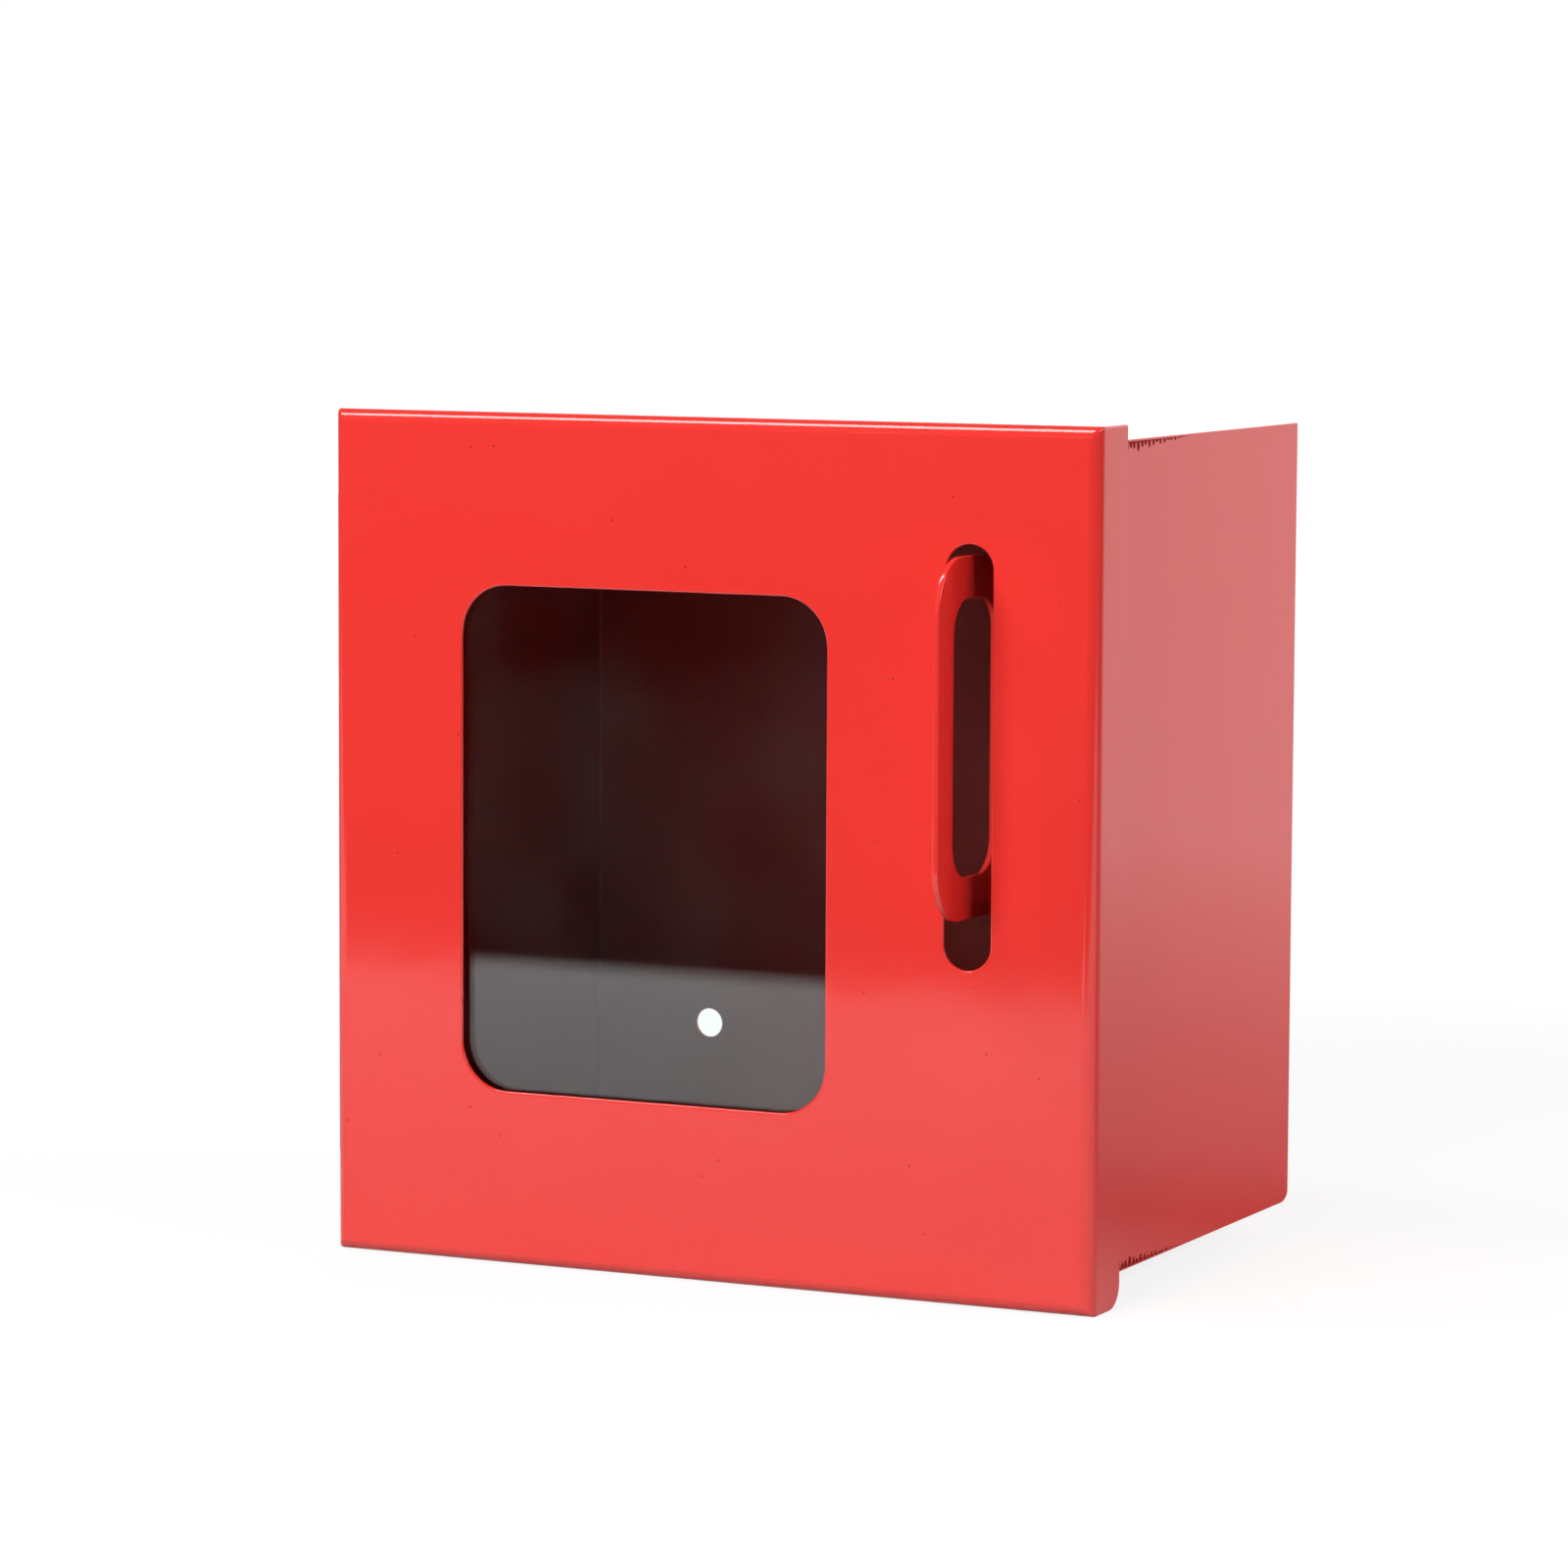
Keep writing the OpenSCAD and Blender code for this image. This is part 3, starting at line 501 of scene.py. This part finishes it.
# %% [markdown]
# ## Key hooks
# Three hooks of 3 mm wire stand on the raised rail. Each wire goes through the rail,
# is upset into a head behind it, runs forward, bends up through a quarter circle and
# ends in a rounded tip. The surface is a circle carried along that path, whose
# direction turns with one angle: 0 is forward and 90 is up.

# %% Hooks
HOOK_X, HOOK_Z, WIRE_R, BEND_R = (-24, 0, 24), 70.6, 1.5, 4.5
HEAD_Y, BEND_Y, TIP_Z = -4.0, -16.4, 80.1


def wire_hook(x, points=32):
    """Rings c + r (cos p, sin p sin a, sin p cos a) along a path in Y and Z, for rows
    (y, z, a, r) of centre, direction angle and radius."""
    head = [(HEAD_Y, 0), (HEAD_Y, 2.2), (HEAD_Y - 0.3, 2.6), (HEAD_Y - 0.95, 2.6),
            (HEAD_Y - 1.2, 2.45), (HEAD_Y - 1.2, WIRE_R), (-6.5, WIRE_R)]
    run = [(y, HOOK_Z, 0, r) for y, r in head]
    a = np.radians(np.linspace(0, 90, 16))
    bend = np.stack([BEND_Y - BEND_R * np.sin(a), HOOK_Z + BEND_R * (1 - np.cos(a)), a,
                     0 * a + WIRE_R], -1)
    b = np.radians(np.linspace(0, 90, 8))
    tip = np.stack([0 * b + BEND_Y - BEND_R, TIP_Z + WIRE_R * np.sin(b),
                    0 * b + np.pi / 2, WIRE_R * np.cos(b)], -1)
    y, z, a, r = (v[:, None] for v in np.concatenate([run, bend, tip]).T)
    p = np.linspace(0, 2 * np.pi, points, endpoint=False)[None]
    return np.stack([x + r * np.cos(p), y + r * np.sin(p) * np.sin(a),
                     z + r * np.sin(p) * np.cos(a)], -1)


ring_piece("key_hooks_bent_wire", [wire_hook(x) for x in HOOK_X], "cabinet", ZINC,
           "key_hooks")

# %% [markdown]
# ## Rubber bumpers
# Two moulded rubber buttons on the right lip stop the door before steel meets steel.
# Their shoulder is round and their top is faintly domed, so that they give at first.

# %% Bumpers
BUMPER_X, BUMPER_Z, LIP_Y, BUMPER_R, BUMPER_H = 90.35, 77.2, -131.0, 3.5, 2.5
bumper_rows = np.concatenate([[(0, 0), (3.3, 0), (BUMPER_R, 0.2)],
                              arc(BUMPER_R - 0.9, 1.45, 0.9, 0, 80),
                              [(1.4, BUMPER_H - 0.05), (0, BUMPER_H)]])
ring_piece("door_bumpers_moulded",
           [turned(bumper_rows, (BUMPER_X, LIP_Y, z), (0, -1, 0))
            for z in (-BUMPER_Z, BUMPER_Z)], "cabinet", RUBBER,
           "door_bumpers", sharp=60)

# %% [markdown]
# ## Weld beads
# The pan is folded like a carton and its corners are closed with short fillet welds.
# A welder's bead is a row of overlapping ripples, each one a crescent, about as far
# apart as the bead is thick. The radius of a quarter circle is made to wave along the
# seam, with a phase that lags towards the bead's sides, and it closes at both ends.

# %% Fillet beads in the corners
def fillet_bead(x, z, r, y0, y1, pitch):
    """Rings in X and Z round a corner. r (0.9 + 0.1 cos(2 pi y / pitch + 2 q q)) with q
    from -1 to 1 across the bead, times (1 - (2t - 1) ** 8) ** 0.5 along it."""
    y = np.linspace(y0, y1, int((y1 - y0) / pitch * 8))[:, None]
    t = (y - y0) / (y1 - y0)
    q = np.linspace(-1, 1, 14)[None]
    closes = np.sqrt(np.clip(1 - (2 * t - 1) ** 8, 0.0004, 1))
    wide = r * closes * (0.9 + 0.1 * np.cos(2 * np.pi * y / pitch + 2 * q * q))
    a = np.radians(45 * (1 + q))
    rings = np.stack([x - np.sign(x) * wide * np.cos(a), y + 0 * a,
                      z - np.sign(z) * wide * np.sin(a)], -1)
    root = np.stack([np.full_like(y, x + np.sign(x) * 0.3), y,
                     np.full_like(y, z + np.sign(z) * 0.3)], -1)
    return np.concatenate([rings, root], 1)


BEAD_Y, BEAD_LEN, BEAD_R, BEAD_PITCH = (-127.7, -76.35, -25.0), 18, 2.5, 1.9
CABINET_CORNER_X, CABINET_CORNER_Z = 96.3, 96.0
fillets = [fillet_bead(x, z, BEAD_R, y, y + BEAD_LEN, BEAD_PITCH)
           for x in (-CABINET_CORNER_X, CABINET_CORNER_X)
           for z in (-CABINET_CORNER_Z, CABINET_CORNER_Z) for y in BEAD_Y]
ring_piece("cabinet_fillet_welds", fillets, "cabinet", RED_COAT,
           "cabinet_corner_welds", sharp=80)
# the door's beads are smaller and end before the rear rounds of its flanges
DOOR_BEAD_R, DOOR_BEAD_PITCH, DOOR_BEAD_Y, DOOR_CORNER_X = 1.0, 1.2, -130.3, 98.8
DOOR_BEAD_ENDS = ((99.8, -119.6), (-103.1, -123.6))
door_fillets = [fillet_bead(x, z, DOOR_BEAD_R, DOOR_BEAD_Y, y1, DOOR_BEAD_PITCH)
                for x in (-DOOR_CORNER_X, DOOR_CORNER_X) for z, y1 in DOOR_BEAD_ENDS]
ring_piece("door_fillet_welds", door_fillets, "door", RED_COAT,
           "door_corner_welds", sharp=80)

# %% [markdown]
# ## The seam on the sides
# Outside, the seam between each side and the top and bottom was run over by hand
# behind the door and ground back only roughly. It shows as a short row of uneven teeth
# that fades out towards the wall, in a darker coat that paints the shade between them.
# Each tooth is a low bump on the side's face: an arch whose width and height both
# follow |cos|, and which shrinks along the seam.

# %% Teeth of the ground seam
SIDE_X, SEAM_Z, SEAM_Y0, SEAM_Y1, TOOTH = 97.5, 96.7, -116.8, -72.0, 2.3


def ground_seam(side, level, wide0=3.2, high0=0.35):
    """An arch of width w and height 0.11 w on the face x = side. w falls from w0 to 0
    along the seam and is multiplied by 0.12 + 0.88 |cos(pi y / tooth)| and, so that no
    two teeth are alike, by 0.75 + 0.25 cos(1.9 y). Its upper edge stays at z = level."""
    y = np.linspace(SEAM_Y0, SEAM_Y1, 320)[:, None]
    t = (y - SEAM_Y0) / (SEAM_Y1 - SEAM_Y0)
    tooth = 0.12 + 0.88 * np.abs(np.cos(np.pi * y / TOOTH)) ** 1.5
    size = (1 - t) * tooth * (0.75 + 0.25 * np.cos(1.9 * y)) * np.clip(t * 40, 0.02, 1)
    p = np.radians(np.linspace(0, 180, 12))[None]
    x = side + np.sign(side) * high0 * size * np.sin(p)
    z = level - np.sign(level) * wide0 * size * (1 - np.cos(p)) / 2
    rings = np.stack([x, y + 0 * p, z], -1)
    root = np.stack([0 * y + side - np.sign(side) * 0.3, y,
                     level - np.sign(level) * wide0 * size / 2], -1)
    return np.concatenate([rings, root], 1)


# the teeth take the darker seam coat: painted shade between them
ring_piece("side_seam_teeth", [ground_seam(x, z) for x in (-SIDE_X, SIDE_X)
                               for z in (-SEAM_Z, SEAM_Z)],
           "cabinet", SEAM_SHADE_COAT, sharp=80)

# %% [markdown]
# ## The glass and its gasket
# A glazier cuts the pane, takes the sharp arris off its edges with a stone and nips
# the corners. The rubber frame in front of it is cut from sheet and squeezed by the
# clips, so its inner edge swells a little. Both are loops round a rectangle, carried
# through their own small sections.

# %% Loops round a rectangle
PANE = (-72.6, 39.8, -70.1, 67.7)
PANE_Y = (-132.8, -130.8)
GASKET_HOLE, GASKET_R, SHEET_Y = (-66.6, 33.8, -64.1, 61.7), 13.8, -133.8


def loop(x0, x1, z0, z1, r, inset=0.0, steps=10):
    """Points (x, z) round a rectangle with corner radius r, moved in by inset."""
    a = np.radians(np.linspace(0, 90, steps)[None] + np.array([[0], [90], [180], [270]]))
    x = np.array([[x1 - r], [x0 + r], [x0 + r], [x1 - r]]) + (r - inset) * np.cos(a)
    z = np.array([[z1 - r], [z1 - r], [z0 + r], [z0 + r]]) + (r - inset) * np.sin(a)
    return np.stack([x.ravel(), z.ravel()], -1)


def at_y(points, y):
    """Points (x, z) as (x, y, z)."""
    return np.stack([points[:, 0], np.full(len(points), y), points[:, 1]], -1)


front, back = PANE_Y
eased = ((0.2, front), (0.05, front + 0.05), (0, front + 0.2),
         (0, back - 0.2), (0.05, back - 0.05), (0.2, back))
pane = np.stack([at_y(loop(*PANE, 0.6, inset), y) for inset, y in eased])
# every edge of the pane is sharp: a smooth one would tilt the normals of its wide
# faces and turn the pane into a lens
ring_piece("window_pane_float_glass", [pane], "door", GLASS, "window_pane",
           sharp=5)

inner, outer = loop(*GASKET_HOLE, GASKET_R), loop(*PANE, 0.3)
section = ((0, SHEET_Y + 0.12), (0.02, SHEET_Y), (0.98, SHEET_Y), (1, SHEET_Y + 0.12),
           (1, front - 0.12), (0.98, front), (0.02, front), (0, front - 0.12),
           (-0.03, (SHEET_Y + front) / 2))
gasket = np.stack([at_y(inner * (1 - t) + outer * t, y) for t, y in section])
ring_piece("pane_gasket_cut_sheet", [gasket], "door", RUBBER,
           "pane_gasket", hollow=True, sharp=5)

# %% [markdown]
# ## The studio
# The box stands on a white table. A glossy red thing is painted by what it mirrors, so
# lamps, walls and table are placed for the mirror as much as for the light. The key
# softbox is low, nearly frontal and a little to the left. It gives the even light and
# the staple's soft shadow, and is kept out of mirrors, where it would draw a second
# bright line. A strip lamp high on the left is the one that the top fold mirrors. A
# wide lamp on the right, a little behind, lights the right side. A bright wall behind
# gives the top and the right side their pale veil. The room in front is dark beyond
# the table's edge, so the glass stays dark above the band in which it mirrors the
# table. Only the camera sees plain white instead of the room.

# %% The room
ROOM_DARK, ROOM_WHITE = 0.08, 1.65
WALL_FROM_Y, WALL_FULL_Y = 0.45, 0.8
# height above the horizon, as z of the direction, and how bright the wall is there
WALL_STOPS = ((0.0, 0.6), (0.03, 1.0), (0.3, 1.0), (0.8, 0.0))


def straight_view(tree, path):
    """1 for a ray from the camera, also through glass, as long as it hasn't bounced off
    anything. Light that goes out through the pane must not meet the white."""
    bounced = add(tree, "Math", {0: path.outputs["Diffuse Depth"],
                                 1: path.outputs["Glossy Depth"]}, operation="ADD")
    first = add(tree, "Math", {0: bounced.outputs[0], 1: 0.5}, operation="LESS_THAN")
    kind = add(tree, "Math", {0: path.outputs["Is Camera Ray"],
                              1: path.outputs["Is Transmission Ray"]}, operation="MAXIMUM")
    both = add(tree, "Math", {0: first.outputs[0], 1: kind.outputs[0]},
               operation="MULTIPLY")
    return both.outputs[0]


def studio_world():
    """White for the camera and through glass. For light and mirrors there is a white
    wall behind, which grows out of the dark with y of the direction and ends with z.
    A ray that has bounced and then leaves through the pane finds black."""
    world = bpy.data.worlds.new("studio")
    world.use_nodes = True
    tree = world.node_tree
    tree.nodes.clear()
    way = add(tree, "SeparateXYZ", {0: add(tree, "TexCoord").outputs["Generated"]})
    behind = add(tree, "MapRange", {0: way.outputs["Y"], 1: WALL_FROM_Y, 2: WALL_FULL_Y},
                 interpolation_type="SMOOTHSTEP")
    height = add(tree, "ValToRGB", {0: way.outputs["Z"]})
    stops = height.color_ramp.elements
    stops[0].position, stops[1].position = WALL_STOPS[0][0], WALL_STOPS[-1][0]
    for at, _ in WALL_STOPS[1:-1]:
        stops.new(at)
    for stop, (_, level) in zip(stops, WALL_STOPS):
        stop.color = (level, level, level, 1)
    wall = add(tree, "Math", {0: behind.outputs[0], 1: height.outputs[0]},
               operation="MULTIPLY")
    glow = add(tree, "MapRange", {0: wall.outputs[0], 3: ROOM_DARK, 4: ROOM_WHITE})
    room = add(tree, "Background", {"Color": (1, 1, 1, 1), "Strength": glow.outputs[0]})
    plain = add(tree, "Background", {"Color": (1, 1, 1, 1), "Strength": 1.0})
    path = add(tree, "LightPath")
    inner = add(tree, "MixShader", {0: path.outputs["Is Transmission Ray"],
                                    1: room.outputs[0]})
    both = add(tree, "MixShader", {0: straight_view(tree, path), 1: inner.outputs[0],
                                   2: plain.outputs[0]})
    add(tree, "OutputWorld", {0: both.outputs[0]})
    bpy.context.scene.world = world


def white_laminate_table():
    """Laminate to light and mirrors up to its front edge; white with a faint shadow to
    the camera. For mirrors it darkens behind the box, a painted shadow of the box."""
    made, tree, out, place = new_material("white_laminate")
    ahead = add(tree, "SeparateXYZ", {0: place}).outputs["Y"]
    start = add(tree, "MapRange", {0: ahead, 1: TABLE_FRONT - EDGE_SOFT,
                                   2: TABLE_FRONT + EDGE_SOFT, 3: BEYOND, 4: TABLE_NEAR})
    # behind the box the mirrored table darkens: a painted shadow of the box
    painted_box_shadow = add(tree, "MapRange", {0: ahead, 1: door_low.y, 2: 0.0, 3: 1.0, 4: TABLE_SHADOWED_BEHIND})
    mirrored = add(tree, "Math", {0: start.outputs[0], 1: painted_box_shadow.outputs[0]},
                   operation="MULTIPLY")
    even = add(tree, "MapRange", {0: ahead, 1: door_low.y - 0.05, 2: door_low.y + 0.1,
                                  3: TABLE_DIM, 4: TABLE_LIT})
    dim, near = (add(tree, "BsdfDiffuse", {"Color": e.outputs[0]}).outputs[0]
                 for e in (even, mirrored))
    path = add(tree, "LightPath")
    away = add(tree, "MapRange", {0: ahead, 1: 0.0, 2: 0.8, 3: 0.0, 4: 1.0})
    bright = add(tree, "MixShader", {0: away.outputs[0], 1: near,
                                     2: add(tree, "BsdfTransparent").outputs[0]})
    top = add(tree, "MixShader", {0: path.outputs["Is Glossy Ray"], 1: dim,
                                  2: bright.outputs[0]})
    # the camera sees a white of its own, with a share of the lit table near the box,
    # which is where the shadow lies
    lit = add(tree, "BsdfDiffuse", {"Color": (0.9, 0.9, 0.9, 1)})
    white = add(tree, "Emission", {"Color": (1, 1, 1, 1), "Strength": SEEN_WHITE})
    far = add(tree, "VectorMath", {0: place, 1: (0, 0, TABLE_Z)}, operation="DISTANCE")
    share = add(tree, "MapRange", {0: far.outputs["Value"], 1: 0.25, 2: 0.6,
                                   3: SHADOW_SHARE, 4: 0.0},
                interpolation_type="SMOOTHSTEP")
    shown = add(tree, "MixShader", {0: share.outputs[0], 1: white.outputs[0],
                                    2: lit.outputs[0]})
    both = add(tree, "MixShader", {0: straight_view(tree, path), 1: top.outputs[0],
                                   2: shown.outputs[0]})
    tree.links.new(both.outputs[0], out.inputs[0])
    return made


door_low, door_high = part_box("door_panel")
TABLE_Z, TABLE_FRONT, TABLE_SIZE = door_low.z, door_low.y - 0.485, 3.0
# how bright mirrors find the table: in front of the box, behind it (darker, a painted shadow
# of the box), past its edge
TABLE_NEAR, TABLE_SHADOWED_BEHIND, BEYOND, EDGE_SOFT = 1.15, 0.32, 0.03, 0.02
# how bright bounced light finds it, then how the camera does
TABLE_DIM, TABLE_LIT, SEEN_WHITE, SHADOW_SHARE = 0.06, 0.5, 1.05, 0.2
studio_world()
mesh = bpy.data.meshes.new("table")
mesh.from_pydata([(x * TABLE_SIZE, y * TABLE_SIZE, TABLE_Z)
                  for x, y in ((-1, -1), (1, -1), (1, 1), (-1, 1))], [], [(0, 1, 2, 3)])
mesh.materials.append(white_laminate_table())
table = bpy.data.objects.new("table", mesh)
bpy.context.scene.collection.objects.link(table)


def softbox(name, azimuth, elevation, distance, wide, high, watts, mirrored=True):
    """A rectangle lamp that looks at the box from an azimuth, positive to the left of
    the front, and an elevation, both in degrees. The distance and size are in metres.
    One that isn't mirrored gives light but no reflection. None shows through the pane."""
    lamp = bpy.data.lights.new(name, "AREA")
    lamp.shape, lamp.size, lamp.size_y, lamp.energy = "RECTANGLE", wide, high, watts
    a, e = np.radians([azimuth, elevation])
    way = Vector((-np.sin(a) * np.cos(e), -np.cos(a) * np.cos(e), np.sin(e)))
    made = bpy.data.objects.new(name, lamp)
    made.location = Vector((0, door_low.y, 0)) + way * distance
    made.rotation_euler = way.to_track_quat("Z", "Y").to_euler()
    made.visible_transmission, made.visible_glossy = False, mirrored
    bpy.context.scene.collection.objects.link(made)


softbox("key_softbox", 9, 20, 1.6, 1.1, 0.5, 27.5, mirrored=False)
softbox("overhead_softbox", 66, 62, 1.8, 0.35, 0.8, 11)
softbox("side_softbox", -100, 24, 1.6, 1.5, 0.6, 12.5)

# %% [markdown]
# ## The camera
# The view was worked out from the corners of the box in the photograph: a long lens,
# to the right of the box and a little above it.

# %% Camera
def photo_camera(spot, yaw, pitch, roll, lens):
    """Turns yaw left from +Y, pitch down and roll, in degrees. The camera's columns are
    right, up and back."""
    y, p, r = np.radians([yaw, pitch, roll])
    level = np.array([-np.sin(y), np.cos(y), 0])
    right = np.array([np.cos(y), np.sin(y), 0])
    ahead = level * np.cos(p) - np.array([0, 0, np.sin(p)])
    up = level * np.sin(p) + np.array([0, 0, np.cos(p)])
    side, top = right * np.cos(r) + up * np.sin(r), up * np.cos(r) - right * np.sin(r)
    made = bpy.data.objects.new("camera", bpy.data.cameras.new("camera"))
    made.data.lens, made.data.sensor_width = lens, 36
    turn = Matrix(np.stack([side, top, -ahead], 1).tolist()).to_4x4()
    made.matrix_world = Matrix.Translation(spot) @ turn
    bpy.context.scene.collection.objects.link(made)
    bpy.context.scene.camera = made


# metres from the middle of the box to the right, and from the door's front and foot
RIGHT, BEFORE, ABOVE = 0.61993, 1.25248, 0.26236
YAW, PITCH, ROLL, LENS_MM = 25.556, 5.85, 0.271, 137.07
photo_camera(Vector((RIGHT, door_low.y - BEFORE, door_low.z + ABOVE)),
             YAW, PITCH, ROLL, LENS_MM)
bpy.context.scene.view_settings.view_transform = "Standard"
